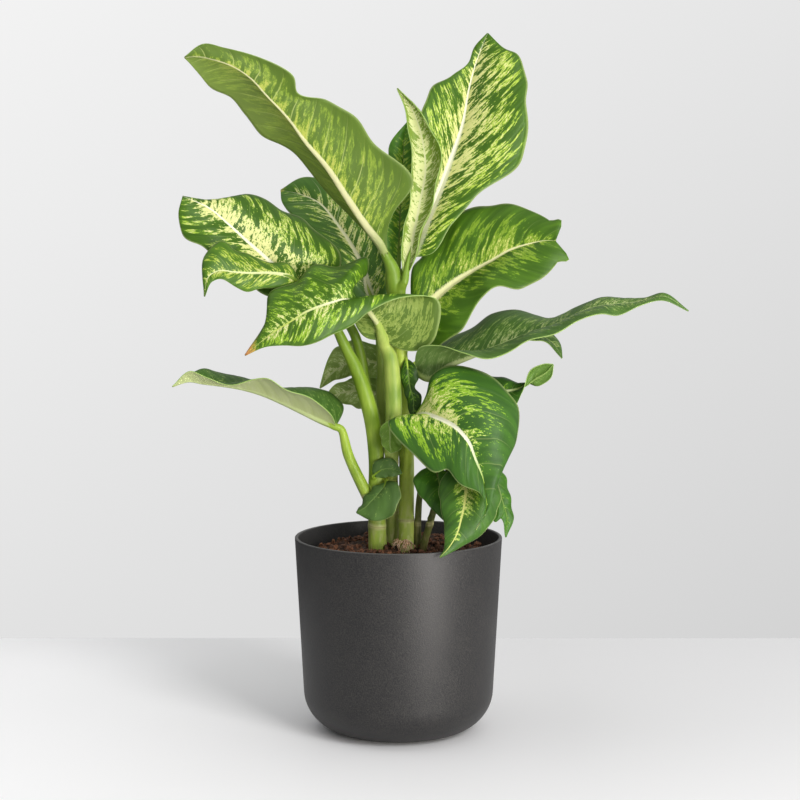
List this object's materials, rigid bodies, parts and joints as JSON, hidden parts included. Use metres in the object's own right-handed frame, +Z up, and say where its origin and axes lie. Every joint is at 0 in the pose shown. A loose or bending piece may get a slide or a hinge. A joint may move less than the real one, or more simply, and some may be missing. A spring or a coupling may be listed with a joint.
{
  "type": "potted dieffenbachia",
  "caption": "House plant: a dumb cane with cream-mottled pointed leaves on upright canes, in a round plain planter with a rounded foot and bark potting mix.",
  "frame": {"origin": "centre of the pot's flat underside", "axes": "+Z up along the pot's axis, -Y towards the side the plant shows best, +X to its right"},
  "size_m": [0.4308, 0.2714, 0.6073],
  "materials": {
    "pot_plastic": "matt anthracite with a fine speckle",
    "potting_mix": "loose bark and coir crumbs",
    "living_stem": "smooth, ringed, satin",
    "green_leaf": "satin, mottled yellow-green and cream",
    "dark_leaf": "satin, dark with few speckles",
    "pale_leaf": "satin, broad cream patches or a pale underside",
    "young_leaf": "satin cream with green flecks"
  },
  "bodies": {
    "root": {"pot": "pot_plastic", "soil": "potting_mix", "stem_left": "living_stem", "stem_middle": "living_stem", "stem_right": "living_stem", "stem_shoot": "living_stem", "leaf_top_left": "pale_leaf", "leaf_top_right": "pale_leaf", "leaf_new_rolled": "young_leaf", "leaf_top_back": "dark_leaf", "leaf_left_back": "dark_leaf", "leaf_left_upper": "pale_leaf", "leaf_left_lower": "green_leaf", "leaf_centre_front": "green_leaf", "leaf_right_middle": "green_leaf", "leaf_right_long": "green_leaf", "leaf_right_under": "green_leaf", "leaf_front_right": "dark_leaf", "leaf_over_rim": "dark_leaf", "leaf_low_dark": "dark_leaf", "leaf_right_twisted": "green_leaf", "leaf_low_right": "dark_leaf", "leaf_left_long": "pale_leaf", "leaf_back_hanging": "green_leaf", "leaf_back_small": "green_leaf", "leaf_low_rounded": "dark_leaf", "leaf_low_shield": "dark_leaf", "leaf_bract": "pale_leaf", "leaf_inner_dark": "dark_leaf", "leaf_behind_left": "green_leaf", "leaf_behind_right": "green_leaf", "leaf_behind_low": "green_leaf"}
  },
  "joints": []
}
